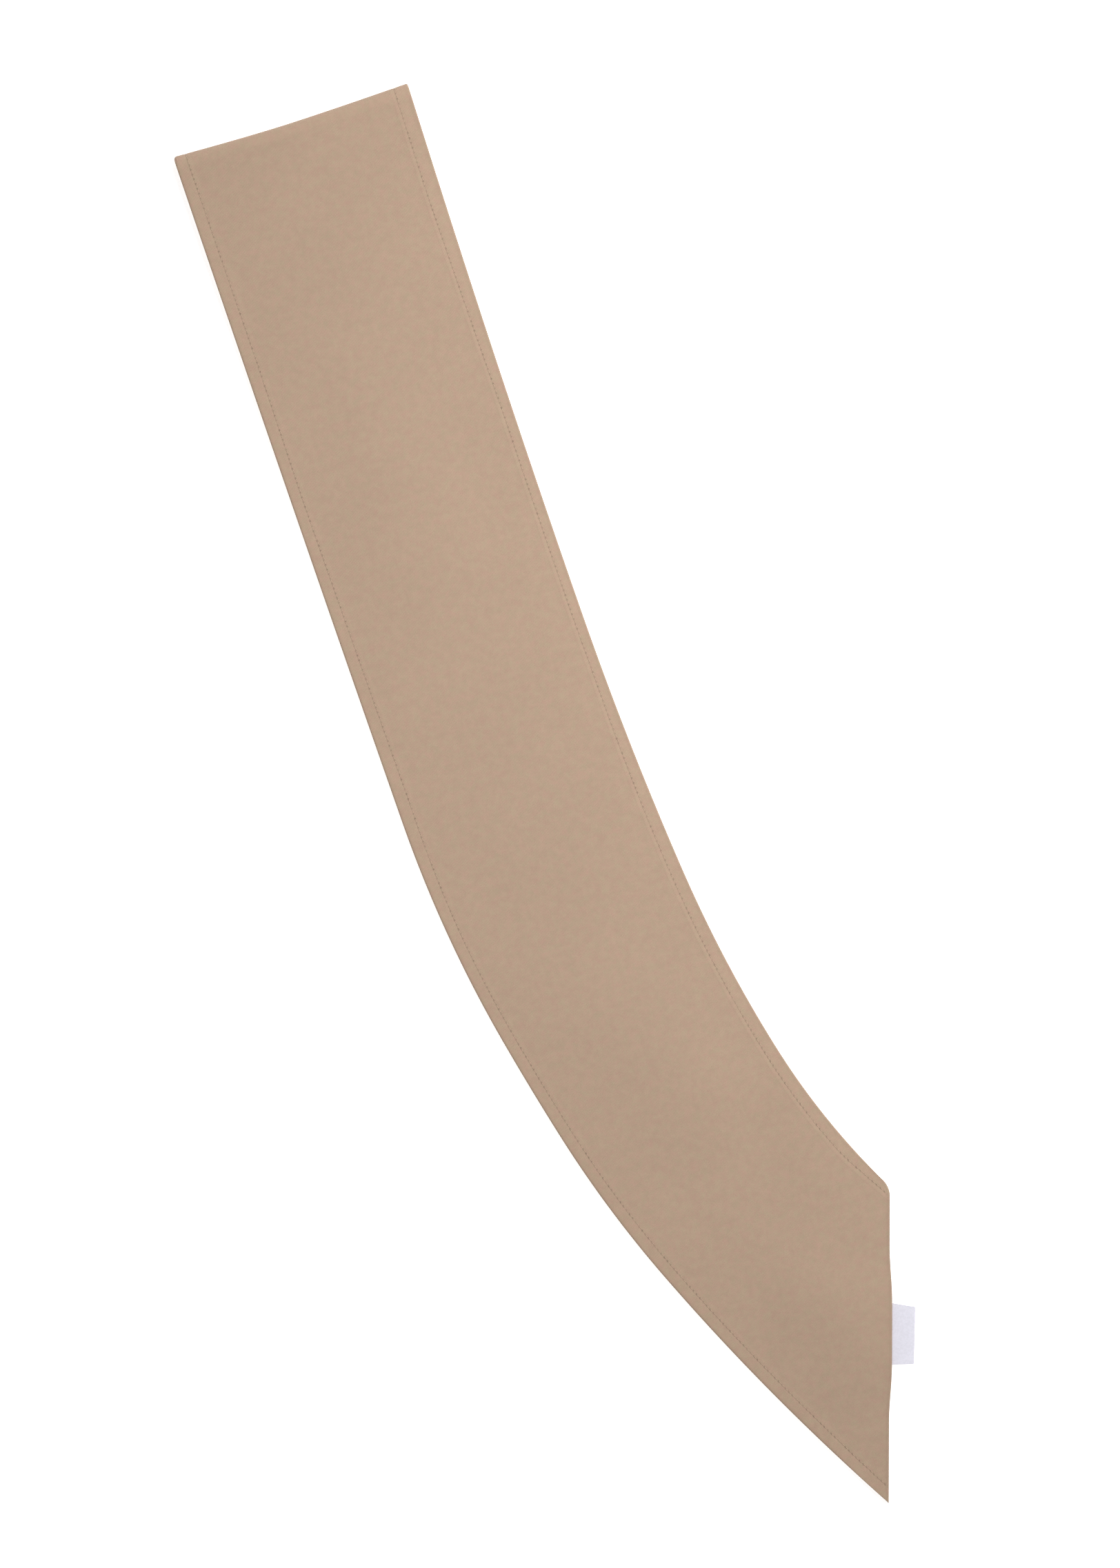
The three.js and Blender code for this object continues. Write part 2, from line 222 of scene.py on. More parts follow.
# The photo: millimetres in a pixel, pixels from top to bottom, and the place at its middle. The camera
# looks straight down on that place.
PHOTO_SCALE = 0.3736
PHOTO_HEIGHT = 2274
PHOTO_MIDDLE = (7.65, 5.31)
CAMERA_HEIGHT = 6000
SENSOR_HEIGHT = 24


def ease(share):
    """0 to 1 as share goes from 0 to 1, level at both ends."""
    share = np.clip(share, 0, 1)
    return share * share * (3 - 2 * share)


def lerp(start, end, share):
    """From start to end as share goes from 0 to 1."""
    return start + (end - start) * share


def wander(places, wavelength, seed):
    """Smooth chance between -1 and 1 along a line."""
    knots = np.random.default_rng(seed).uniform(-1, 1, 1024)
    place = np.asarray(places) / wavelength + 300
    low = np.floor(place).astype(int)
    share = ease(place - low)
    return lerp(knots[low % 1024], knots[(low + 1) % 1024], share)


def drift(across, along, wavelength, seed):
    """Smooth chance between -1 and 1 over a surface."""
    knots = np.random.default_rng(seed).uniform(-1, 1, (256, 256))
    x = across / wavelength + 100
    y = along / wavelength + 100
    column = np.floor(x).astype(int)
    row = np.floor(y).astype(int)
    right = ease(x - column)
    up = ease(y - row)
    low = lerp(knots[row % 256, column % 256], knots[row % 256, (column + 1) % 256], right)
    high = lerp(knots[(row + 1) % 256, column % 256], knots[(row + 1) % 256, (column + 1) % 256], right)
    return lerp(low, high, up)


# The strip in plan.


def along_arc(x, y, heading, run, turn):
    """The place and heading at the end of an arc."""
    half = turn / 2
    chord = run * np.sinc(half / np.pi)
    return x + chord * np.sin(heading + half), y - chord * np.cos(heading + half), heading + turn


class ArcPath:
    """A plan curve of arcs, which gives the place and heading at any run along it."""

    def __init__(self, x, y, heading, arcs):
        legs = []
        begins = 0.0
        for run, turn in arcs:
            turn = math.radians(turn)
            legs.append((begins, x, y, heading, run, turn))
            x, y, heading = along_arc(x, y, heading, run, turn)
            begins += run
        self.legs = np.array(legs)
        self.length = begins
        self.end = (float(x), float(y), float(heading))

    def at(self, runs):
        """The places and headings at runs along the curve."""
        runs = np.asarray(runs, float)
        leg = np.clip(np.searchsorted(self.legs[:, 0], runs, side="right") - 1, 0, len(self.legs) - 1)
        begins, x, y, heading, run, turn = np.moveaxis(self.legs[leg], -1, 0)
        part = runs - begins
        return along_arc(x, y, heading, part, turn * part / run)


outer_edge = ArcPath(0, 0, math.radians(OUTER_HEADING), OUTER_ARCS)
inner_edge = ArcPath(
    STRIP_WIDTH * math.cos(SHOULDER_TILT),
    STRIP_WIDTH * math.sin(SHOULDER_TILT),
    math.radians(INNER_HEADING),
    INNER_ARCS,
)
tip_x, tip_y, tip_heading = outer_edge.end
corner_x, corner_y, corner_heading = inner_edge.end
hip_heading = math.atan2(corner_x - tip_x, tip_y - corner_y)
corner_turn = corner_heading + math.pi - hip_heading
corner_tangent = SEAM_CORNER * math.tan(corner_turn / 2)
hip_straight = math.hypot(corner_x - tip_x, corner_y - tip_y) - corner_tangent
hip_line = ArcPath(
    tip_x,
    tip_y,
    hip_heading,
    [(hip_straight, 0), (SEAM_CORNER * corner_turn, math.degrees(corner_turn))],
)

# The last line of the flat cloth runs along the seam's roll.
last_start = ROLL_START / (math.tan(tip_heading) - ROLL_SPREAD)
last_outer = outer_edge.length - math.hypot(last_start, last_start * math.tan(tip_heading))
last_inner = inner_edge.length - corner_tangent
last_from = outer_edge.at(last_outer)[:2]
last_to = inner_edge.at(last_inner)[:2]

# Cross lines join these runs down the two edges.
LINES_OUTER = [0, FOLD_REACH, STRAIGHT_OUTER, last_outer]
LINES_INNER = [0, FOLD_REACH, STRAIGHT_INNER, last_inner]


def label_push(run):
    """1 where the label pushes the hip seam out, to 0 away from it."""
    return 1 - ease((np.abs(run - LABEL_MIDDLE) - PUSH_PLATEAU) / PUSH_FADE)


def hip_point(run, inset):
    """A point of the hip seam's outline, moved inwards by inset, and the way out from it."""
    x, y, heading = hip_line.at(run)
    inwards = inset - PUSH_OUT * label_push(run)
    return x + inwards * np.cos(heading), y + inwards * np.sin(heading), -np.cos(heading), -np.sin(heading)


def roll_reach(run):
    """How far the roll stands out; it runs out at the tip and the corner."""
    from_end = np.minimum(run, hip_line.length - run)
    return np.minimum(SEAM_RADIUS, ROLL_START + ROLL_SPREAD * from_end)


def allowance_reach(run):
    """How far in the allowance's end lies; it is cut slantwise at the tip and the corner."""
    from_end = np.minimum(run, hip_line.length - run)
    return np.minimum(ALLOWANCE, roll_reach(run) + BEVEL * from_end)


def hip_run(across):
    """The run along the hip at shares across the last line."""
    return lerp(last_start, hip_line.length, across)


class Lines:
    """Cross lines of the strip at runs down its outer edge."""

    def __init__(self, outer):
        self.outer = np.asarray(outer, float)
        self.inner = np.interp(self.outer, LINES_OUTER, LINES_INNER)
        self.from_x, self.from_y, from_heading = outer_edge.at(self.outer)
        self.to_x, self.to_y, to_heading = inner_edge.at(self.inner)
        self.width = np.hypot(self.to_x - self.from_x, self.to_y - self.from_y)
        bearing = np.arctan2(self.to_x - self.from_x, self.from_y - self.to_y)
        self.slant_outer = self.width * np.sin(bearing - from_heading)
        self.slant_inner = self.width * np.sin(bearing - to_heading)

    def place(self, across):
        """Plan places at shares across the lines, bent so that the last line runs along the seam."""
        x = lerp(self.from_x, self.to_x, across)
        y = lerp(self.from_y, self.to_y, across)
        run = hip_run(across)
        seam_x, seam_y, _, _ = hip_point(run, roll_reach(run))
        bend = 1 - ease((last_outer - self.outer) / SEAM_SETTLE)
        x = x + bend * (seam_x - lerp(last_from[0], last_to[0], across))
        y = y + bend * (seam_y - lerp(last_from[1], last_to[1], across))
        return x, y


def one_column(lines):
    """The same lines, with one number for each in place of a row of them."""
    return Lines(lines.outer[:, 0])


def share_across(lines, edge, margin):
    """The share across the lines at a distance in from one edge."""
    return margin / lines.slant_outer if edge == "outer" else 1 - margin / lines.slant_inner


def edge_margins(lines, across):
    """How far in from both edges the shares across the lines are."""
    return np.maximum(0, across * lines.slant_outer), np.maximum(0, (1 - across) * lines.slant_inner)


def stitch_margin(edge, run):
    """How far in from an edge its stitches are, at runs down it."""
    runs, margins = zip(*(OUTER_STITCHES if edge == "outer" else INNER_STITCHES))
    return np.interp(run, runs, margins)


# Heights of the front's upper face.


def front_height(x, y, down, across, width, margin):
    """The smooth height of the front, much as in the part."""
    shoulder = 1 - ease((down - FOLD_REACH) / FOLD_SETTLE)
    inset = tip_x - x
    hip = 1 - ease((inset - SEAM_LEVEL) / SEAM_SETTLE)
    seam = SEAM_TOP - HEM_TOP + PUSH_UP * label_push(y - tip_y)
    swell = np.zeros_like(x)
    for swell_down, swell_across, height, along, aside in SWELLS:
        near = 1 - ((down - swell_down) / along) ** 2 - ((across - swell_across) * width / aside) ** 2
        swell = swell + height * np.clip(near, 0, 1) ** 2
    loose = ease((margin - HEM_LEVEL) / SAG_RUN) * (1 - shoulder) * (1 - hip)
    return HEM_TOP + shoulder * (FOLD_HEIGHT - HEM_TOP) + hip * seam + loose * (swell - SAG)


def relief(run, margin, stitches, seed):
    """What the stitches do to the cloth near an edge."""
    groove = -GROOVE * np.exp(-(((margin - stitches) / GROOVE_WIDTH) ** 2))
    beyond = margin - stitches - HEM_BEYOND_STITCHES
    step = -HEM_STEP * ease((beyond + HEM_STEP_BEFORE) / HEM_STEP_WIDTH)
    hem = np.clip(margin / stitches, 0, 1)
    inside = np.clip(1 - (margin - stitches) / PUCKER_REACH, 0, 1)
    reach = np.where(margin < stitches, lerp(PUCKER_AT_EDGE, 1, hem), inside**2)
    pucker = sum(
        height * wander(run + slant * margin, wavelength, seed + i)
        for i, (height, slant, wavelength) in enumerate(PUCKERS)
    )
    return groove + step + reach * pucker


def cloth_relief(x, y, run_outer, run_inner, margin_outer, margin_inner, seed):
    """Both edges' relief together, and the unevenness of the whole cloth."""
    outer = relief(run_outer, margin_outer, stitch_margin("outer", run_outer), seed)
    inner = relief(run_inner, margin_inner, stitch_margin("inner", run_inner), seed + 10)
    height = np.where(margin_outer < margin_inner, outer, inner)
    inside = ease((np.minimum(margin_outer, margin_inner) - UNEVEN_FROM) / UNEVEN_FADE)
    uneven = sum(
        rise * drift(x, y, wavelength, seed + 20 + i) for i, (rise, wavelength) in enumerate(UNEVENNESS)
    )
    return height + inside * uneven


# The cloth's mesh: cross sections all round the strip, from the back's seam allowance over the shoulder
# to the front's.


def over_hem(lines, edge, thick):
    """The upper face's columns over one hem, from its edge inwards, as shares across."""
    radius = thick / 2
    stitch = stitch_margin(edge, lines.outer if edge == "outer" else lines.inner)
    end = stitch + HEM_BEYOND_STITCHES
    margins = [
        *(lerp(radius, stitch, share) for share in COLUMNS_TO_STITCHES),
        *(stitch + off for off in COLUMNS_AT_STITCHES),
        *(end + off for off in COLUMNS_AT_HEM_END),
    ]
    return [share_across(lines, edge, margin) for margin in margins]


def under_hem(lines, edge, thick):
    """The columns round one edge and on under its hem, as shares across and depths."""
    radius = thick / 2
    stitch = stitch_margin(edge, lines.outer if edge == "outer" else lines.inner)
    end = stitch + HEM_BEYOND_STITCHES
    spots = [
        (radius - radius * math.cos(angle), radius - radius * math.sin(angle)) for angle in EDGE_ANGLES
    ]
    spots += [(radius, thick), (0.5 * stitch, thick)]
    spots += [(end + UNDER_HEM_END[0], thick), (end + UNDER_HEM_END[1], np.minimum(thick, CLOTH))]
    return [(share_across(lines, edge, margin), depth) for margin, depth in spots]


def section_columns(lines, thick):
    """Columns round the strip's cross section, as shares across and depths in the cloth."""
    surface = np.zeros_like(lines.outer)
    thin = np.minimum(thick, CLOTH)
    over_outer = over_hem(lines, "outer", thick)
    over_inner = over_hem(lines, "inner", thick)
    under_inner = under_hem(lines, "inner", thick)
    under_outer = under_hem(lines, "outer", thick)
    columns = [(across, surface) for across in over_outer]
    for i in range(1, MIDDLE_COLUMNS):
        columns.append((lerp(over_outer[-1], over_inner[-1], i / MIDDLE_COLUMNS), surface))
    columns += [(across, surface) for across in reversed(over_inner)]
    columns += under_inner
    for i in range(1, UNDER_COLUMNS):
        columns.append((lerp(under_inner[-1][0], under_outer[-1][0], i / UNDER_COLUMNS), thin))
    columns += reversed(under_outer)
    across, depth = zip(*columns)
    return np.stack(across, axis=1), np.stack(depth, axis=1)


# Rows of surface points: the place, the way out of the cloth, the depth under that surface, the place on
# the flat cut, and the place by the stitches with the painted shade along the edge.
Rows = namedtuple("Rows", "x y z out depth flat stitch")


def hem_thickness(lines):
    """How thick the hems are on each line."""
    x = np.minimum(tip_x - lines.from_x, tip_x - lines.to_x)
    return lerp(CLOTH, HEM_THICK, ease((x - HEM_FADE[0]) / (HEM_FADE[1] - HEM_FADE[0])))


def flat_place(x, y):
    """Where a plan place lies on the flat cut: across the strip and down it."""
    return (
        x * math.cos(SHOULDER_TILT) + y * math.sin(SHOULDER_TILT),
        x * math.sin(SHOULDER_TILT) - y * math.cos(SHOULDER_TILT),
    )


def from_fold(run, front):
    """How far along the cloth a run down an edge is from the top of the fold; the back counts down."""
    along = run + FOLD_ARC - FOLD_REACH
    return along if front else -along


def sewn(edge, along):
    """The place along a row of stitches, a little uneven as the machine's feed is."""
    return along + FEED_SWING * wander(along, FEED_WAVELENGTH, 60 if edge == "outer" else 61)


def edge_shade(margin):
    """Painted shade along an edge of the cloth, where it is folded hard: 1 at the edge, to 0 a little way in.
    """
    return 1 - ease((margin - EDGE_SHADE_START) / EDGE_SHADE_FADE)


def stitch_places(lines, across, along_outer, along_inner):
    """For the pattern near an edge: place along its stitches, how far in from them, and the painted shade
    along the edge.
    """
    outer, inner = edge_margins(lines, across)
    nearer = outer < inner
    along = np.where(nearer, sewn("outer", along_outer), sewn("inner", along_inner))
    off = np.where(
        nearer,
        outer - stitch_margin("outer", lines.outer),
        inner - stitch_margin("inner", lines.inner),
    )
    return along, off, np.maximum(OUTER_EDGE_SHADE * edge_shade(outer), INNER_EDGE_SHADE * edge_shade(inner))


def hip_margin(lines, across):
    """How far a point is from the hip seam."""
    outer = (last_outer - lines.outer) * math.sin(tip_heading)
    inner = (last_inner - lines.inner) * math.sin(corner_heading)
    return SEAM_RADIUS + lerp(outer, inner, across)


def layer_surface(lines, across, front):
    """The outside face of one layer: its places, and how they lie on the flat cut."""
    x, y = lines.place(across)
    margin_outer, margin_inner = edge_margins(lines, across)
    margin = np.minimum(margin_outer, margin_inner)
    down = lerp(lines.outer, lines.inner, across)
    seed = 100 if front else 500
    fine = cloth_relief(x, y, lines.outer, lines.inner, margin_outer, margin_inner, seed)
    fade = ease((down - FOLD_REACH) / RELIEF_TO_FOLD) * ease((last_outer - lines.outer) / RELIEF_TO_SEAM)
    if front:
        z = front_height(x, y, down, across, lines.width, margin) + fine * fade
    else:
        z = np.maximum(0, (RELIEF_LIFT - fine) * fade)
    flat_across, flat_down = flat_place(x, y)
    return x, y, z, flat_across, from_fold(flat_down, front)


def runs_down(step):
    """Runs down the outer edge from the fold to the hip, even over the straight part and the curve."""
    straight_steps = round((STRAIGHT_OUTER - FOLD_REACH) / step)
    curved_steps = round((last_outer - STRAIGHT_OUTER) / step)
    straight = np.linspace(FOLD_REACH, STRAIGHT_OUTER, straight_steps, endpoint=False)
    curved = np.linspace(STRAIGHT_OUTER, last_outer, curved_steps + 1)
    return np.concatenate([straight, curved])


def flat_rows(front):
    """The rows of one layer, from the fold to the hip."""
    lines = Lines(runs_down(FRONT_STEP if front else BACK_STEP)[:, None])
    across, depth = section_columns(one_column(lines), hem_thickness(one_column(lines)))
    x, y, z, flat_across, flat_down = layer_surface(lines, across, front)
    out = np.zeros((*x.shape, 3))
    out[..., 2] = 1 if front else -1
    along, off, edge_shading = stitch_places(
        lines, across, from_fold(lines.outer, front), from_fold(lines.inner, front)
    )
    # The hip seam's edge gets painted shade too.
    edge_shading = np.maximum(edge_shading, edge_shade(hip_margin(lines, across)))
    flat = np.stack([flat_across, flat_down], axis=-1)
    return Rows(x, y, z, out, depth, flat, np.stack([along, off, edge_shading], axis=-1))


def fold_surface(angles, across, reach):
    """The outside of the turn over the shoulder, and the way out from it."""
    run = FOLD_REACH - reach * np.cos(angles)
    from_x, from_y, from_heading = outer_edge.at(run)
    to_x, to_y, to_heading = inner_edge.at(run)
    x = lerp(from_x, to_x, across)
    y = lerp(from_y, to_y, across)
    z = FOLD_HEIGHT / 2 * (1 + np.sin(angles)) + np.zeros_like(x)
    heading = lerp(from_heading, to_heading, across)
    level = np.cos(angles) / reach
    upright = np.sin(angles) / (FOLD_HEIGHT / 2) + np.zeros_like(level)
    size = np.hypot(level, upright)
    out = np.stack([-np.sin(heading) * level / size, np.cos(heading) * level / size, upright / size], axis=-1)
    return x, y, z, out


def corner_cut(margin, radius):
    """How much a rounded corner takes off the turn's reach near an edge."""
    short = np.maximum(0, radius - margin)
    return radius - np.sqrt(radius**2 - short**2)


def fold_reach(lines, across):
    """How far the turn stands out: more at the thick hems than between them, less where stitches pull."""
    margin_outer, margin_inner = edge_margins(lines, across)
    from_middle = np.abs(across - FOLD_MIDDLE)
    bow = np.where(across < FOLD_MIDDLE, FOLD_BOW_OUTER, FOLD_BOW_INNER) * from_middle**FOLD_BOW_POWER
    bow = bow - FOLD_SHORT
    for edge, margin in (("outer", margin_outer), ("inner", margin_inner)):
        from_stitches = (margin - stitch_margin(edge, 0)) / FOLD_PINCH_WIDTH
        bow = bow - FOLD_PINCH * np.exp(-(from_stitches**2))
    bow = bow - corner_cut(margin_outer, FOLD_CORNER_OUTER) - corner_cut(margin_inner, FOLD_CORNER_INNER)
    return FOLD_REACH + bow


def fold_rows():
    """The rows round the shoulder, from the back's first row to the front's."""
    angles = np.radians(np.linspace(-90, 90, FOLD_STEPS + 1))[1:-1, None]
    lines = Lines(np.zeros_like(angles))
    across, depth = section_columns(one_column(lines), hem_thickness(one_column(lines)))
    x, y, z, out = fold_surface(angles, across, fold_reach(lines, across))
    along = FOLD_ARC * angles / (math.pi / 2) + np.zeros_like(x)
    flat_across, _ = flat_place(x, y)
    flat = np.stack([flat_across, along], axis=-1)
    stitch = np.stack(stitch_places(lines, across, along, along), axis=-1)
    return Rows(x, y, z, out, depth, flat, stitch)


def seam_profile(run):
    """The roll over the seam and the allowance inside. Each row is how far in it lies, how far down, how
    much its way out is level and upright, and the length of cloth to it."""
    roll = roll_reach(run)
    profile = []
    for angle in np.radians(np.linspace(90, -90, ROLL_STEPS + 1))[1:]:
        level = math.cos(angle)
        upright = math.sin(angle)
        past = SEAM_RADIUS * (math.pi / 2 - angle)
        profile.append((roll - roll * level, SEAM_RADIUS - SEAM_RADIUS * upright, level, upright, past))
    for share in ALLOWANCE_ROWS:
        inset = lerp(roll, allowance_reach(run), share)
        past = math.pi * SEAM_RADIUS + share * ALLOWANCE
        profile.append((inset, 2 * SEAM_RADIUS, 0, -1, past))
    return profile


def seam_rows(front):
    """The rows over the hip seam and on its allowance, from the flat rows on."""
    lines = Lines(np.array([[last_outer]]))
    across, depth = section_columns(one_column(lines), np.array([CLOTH]))
    _, _, edge_z, _, _ = layer_surface(lines, across, front)
    run = hip_run(across)
    start_x, start_y, out_x, out_y = hip_point(run, roll_reach(run))
    along, off, _ = stitch_places(
        lines, across, from_fold(lines.outer, front), from_fold(lines.inner, front)
    )
    side = 1 if front else -1
    rows = []
    for inset, drop, level, upright, past in seam_profile(run):
        x, y, _, _ = hip_point(run, inset)
        out = np.stack([level * out_x, level * out_y, np.full_like(out_x, side * upright)], axis=-1)
        flat_across, flat_down = flat_place(start_x + past * out_x, start_y + past * out_y)
        flat = np.stack([flat_across, from_fold(flat_down, front)], axis=-1)
        # Painted shade along the roll's folded edge.
        edge_shading = edge_shade(inset if upright > 0 else np.zeros_like(x))
        stitch = np.stack([along, off, edge_shading], axis=-1)
        rows.append(Rows(x, y, edge_z - side * drop, out, depth, flat, stitch))
    return rows


def backwards(rows):
    """The same rows, from last to first."""
    return Rows(*(values[::-1] for values in rows))


def zipped(first, second, first_places, second_places):
    """Triangles between two rows of points, by how far along each point is."""
    triangles = []
    i = 0
    j = 0
    while i < len(first) - 1 or j < len(second) - 1:
        step_first = j == len(second) - 1 or (
            i < len(first) - 1 and first_places[i + 1] <= second_places[j + 1]
        )
        if step_first:
            triangles.append((first[i], first[i + 1], second[j]))
            i += 1
        else:
            triangles.append((first[i], second[j + 1], second[j]))
            j += 1
    return triangles


def face_out(mesh):
    """Turn all faces outwards."""
    work = bmesh.new()
    work.from_mesh(mesh)
    bmesh.ops.recalc_face_normals(work, faces=work.faces)
    work.to_mesh(mesh)
    work.free()
    mesh.update()


def mesh_object(name, points, faces, material, attributes=()):
    """A mesh of points in millimetres in the strip's plan, placed in the shared frame."""
    points = np.asarray(points, float) + np.array([SHOULDER_PLACE[0], SHOULDER_PLACE[1], 0])
    mesh = bpy.data.meshes.new(name)
    mesh.from_pydata((points * MM).tolist(), [], faces)
    for attribute, values in attributes:
        layer = mesh.attributes.new(attribute, "FLOAT_VECTOR", "POINT")
        layer.data.foreach_set("vector", np.asarray(values, np.float32).ravel())
    mesh.polygons.foreach_set("use_smooth", [True] * len(mesh.polygons))
    mesh.materials.append(material)
    face_out(mesh)
    piece = bpy.data.objects.new(name, mesh)
    bpy.context.scene.collection.objects.link(piece)
    return piece


def make_cloth(material):
    """The whole strip: one cloth from seam to seam."""
    back_seam = [backwards(rows) for rows in reversed(seam_rows(False))]
    parts = [*back_seam, backwards(flat_rows(False)), fold_rows(), flat_rows(True), *seam_rows(True)]
    x, y, z, out, depth, flat, stitch = (np.concatenate(values) for values in zip(*parts))
    points = np.stack([x, y, z], axis=-1) - out * depth[..., None]
    index = np.arange(x.size).reshape(x.shape)
    after = np.roll(index, -1, axis=1)
    quads = np.stack([index[:-1], after[:-1], after[1:], index[1:]], axis=-1).reshape(-1, 4)
    points = points.reshape(-1, 3)
    faces = quads.tolist() + end_caps(index, points)
    flat = np.concatenate([flat, depth[..., None]], axis=-1)
    attributes = [("flat_place", flat), ("stitch_place", stitch)]
    return mesh_object("sash_cloth", points, faces, material, attributes)


def end_caps(index, points):
    """Close the two cut ends of the cloth, inside the seam."""
    faces = []
    for row in (index[0], index[-1]):
        top = row[:TOP_COLUMNS]
        under = row[TOP_COLUMNS:][::-1]
        faces += zipped(top.tolist(), under.tolist(), points[top, 1], points[under, 1])
    return faces


# Stitches: short thread lengths lying in the grooves, from one needle hole to the next.


def stitch_middles(edge, front):
    """Where the stitches of one layer lie along the cloth, each between two needle holes."""
    last = last_outer - OUTER_STITCHES_END if edge == "outer" else last_inner - INNER_STITCHES_END
    alongs = np.linspace(0, from_fold(last, True), FEED_SAMPLES) * (1 if front else -1)
    counts = sewn(edge, alongs) / STITCH_PITCH
    low = min(counts[0], counts[-1])
    high = max(counts[0], counts[-1])
    middles = np.arange(math.ceil(low - 0.5), math.floor(high - 0.5) + 1) + 0.5
    middles = middles[(middles > low) & (middles < high)]
    order = np.argsort(counts)
    return np.interp(middles, counts[order], alongs[order])


def stitch_surface(edge, along):
    """Places on the outside of the cloth in a row of stitches, and the way out from it."""
    front = along > 0
    run = np.abs(along) - FOLD_ARC + FOLD_REACH
    on_fold = (run < FOLD_REACH)[..., None]
    run = np.maximum(run, FOLD_REACH)
    lines = Lines(run if edge == "outer" else np.interp(run, LINES_INNER, LINES_OUTER))
    across = share_across(lines, edge, stitch_margin(edge, run))
    x, y, front_z, _, _ = layer_surface(lines, across, True)
    _, _, back_z, _, _ = layer_surface(lines, across, False)
    place = np.stack([x, y, np.where(front, front_z, back_z)], axis=-1)
    out = np.zeros_like(place)
    out[..., 2] = np.where(front, 1, -1)
    start = Lines(np.zeros_like(along))
    across = share_across(start, edge, stitch_margin(edge, start.outer))
    angle = np.clip(along / FOLD_ARC, -1, 1) * math.pi / 2
    x, y, z, fold_out = fold_surface(angle, across, fold_reach(start, across))
    return np.where(on_fold, np.stack([x, y, z], axis=-1), place), np.where(on_fold, fold_out, out)


def make_stitches(name, front, material):
    """All the stitches of one layer, as one piece."""
    rng = np.random.default_rng(7 if front else 8)
    shares = np.linspace(0, 1, THREAD_STATIONS)
    swell = np.sin(np.pi * shares)
    lift = THREAD_LIFT - THREAD_DIVE * (1 - swell) ** 3
    threads = []
    thread_places = []
    for edge in ("outer", "inner"):
        middles = stitch_middles(edge, front)
        one_each = (len(middles), 1)
        along = middles[:, None] + STITCH_LENGTH * (shares - 0.5)
        place, out = stitch_surface(edge, along)
        side = np.cross(out, np.gradient(place, axis=1))
        side = side / np.linalg.norm(side, axis=-1, keepdims=True)
        slip = rng.normal(0, THREAD_SLIP, one_each)
        slip = slip + rng.normal(0, THREAD_SKEW, one_each) * (shares - 0.5)
        thick = THREAD / 2 * lerp(THREAD_AT_ENDS, 1, swell) * rng.normal(1, THREAD_UNEVEN, one_each)
        rings = []
        twists = []
        for turn in range(THREAD_SIDES):
            angle = 2 * math.pi * turn / THREAD_SIDES
            level = thick * THREAD_WIDE * math.cos(angle) + slip
            rise = thick * THREAD_HIGH * math.sin(angle) + lift
            rings.append(place + side * level[..., None] + out * rise[..., None])
            turns = [np.full_like(along, math.cos(angle)), np.full_like(along, math.sin(angle))]
            twists.append(np.stack([along, *turns], axis=-1))
        threads.append(np.stack(rings, axis=2))
        thread_places.append(np.stack(twists, axis=2))
    points = np.concatenate(threads)
    points[..., 2] = np.maximum(points[..., 2], 0)
    index = np.arange(points.size // 3).reshape(points.shape[:3])
    after = np.roll(index, -1, axis=2)
    sides = np.stack([index[:, :-1], after[:, :-1], after[:, 1:], index[:, 1:]], axis=-1).reshape(-1, 4)
    ends = np.concatenate([index[:, 0, ::-1], index[:, -1]])
    faces = sides.tolist() + ends.tolist()
    attributes = [("thread_place", np.concatenate(thread_places))]
    return mesh_object(name, points.reshape(-1, 3), faces, material, attributes)


# The label: a tape folded double, with both ends in the seam.


def label_section():
    """The tape's outer face across its fold: how far out, how high, and the way out from it."""
    bend_from = LABEL_REACH - LABEL_BEND
    outs = [-LABEL_ROOT, -LABEL_ROOT / 2, -1, 0.5, 2.5, 5, 7.5, 9.5, bend_from - 0.7]
    section = [(out, LABEL_BEND, (0, 1)) for out in outs]
    for angle in np.radians(np.linspace(90, -90, LABEL_BEND_STEPS + 1)):
        level = math.cos(angle)
        rise = math.sin(angle)
        section.append((bend_from + LABEL_BEND * level, LABEL_BEND * rise, (level, rise)))
    section += [(out, -LABEL_BEND, (0, -1)) for out in reversed(outs)]
    return section


